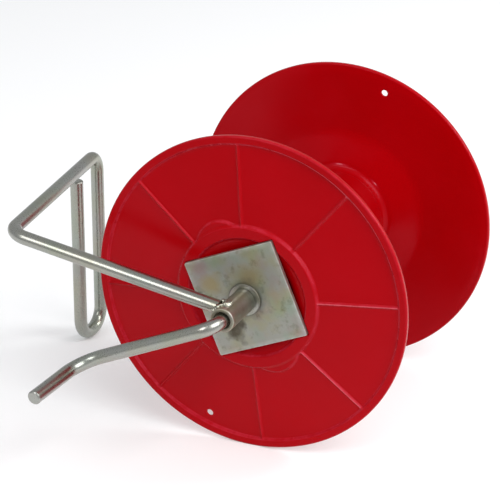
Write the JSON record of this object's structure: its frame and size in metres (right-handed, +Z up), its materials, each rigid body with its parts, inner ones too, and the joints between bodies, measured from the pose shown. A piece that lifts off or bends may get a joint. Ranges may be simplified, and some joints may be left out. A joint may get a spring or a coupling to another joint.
{
  "type": "electric fence reel",
  "caption": "Hand-cranked reel for electric fence line: a flanged moulded spool on a bent-bar crank, carried in a tube by a bent-bar handle with a hanging hook.",
  "frame": {"origin": "middle of the spool, on the axle", "axes": "+Y along the axle from the crank to the nut, +Z up as the reel stands on its two rims and its hook"},
  "size_m": [0.373, 0.3803, 0.28],
  "materials": {
    "red_plastic": "moulded red plastic with a semi-gloss skin",
    "zinc_bar": "bright zinc plated round bar, drawn, with a faint tint",
    "zinc_tube": "zinc plated tube, duller than the bar",
    "zinc_plate": "zinc plated sheet with faint yellow and green stains",
    "zinc_fastener": "zinc plated fasteners"
  },
  "bodies": {
    "handle_frame": {"hook_handle": "zinc_bar", "bearing_tube": "zinc_tube"},
    "spool": {"crank_axle": "zinc_bar", "thrust_washer": "zinc_fastener", "front_plate": "zinc_plate", "front_flange": "red_plastic", "barrel": "red_plastic", "rear_flange": "red_plastic", "rear_plate": "zinc_plate", "rear_washer": "zinc_fastener", "axle_nut": "zinc_fastener"}
  },
  "joints": [
    {"name": "reel_spin", "type": "hinge", "parent": "handle_frame", "child": "spool", "pos_m": [0, 0, 0], "axis": [0, 1, 0], "continuous": true}
  ]
}
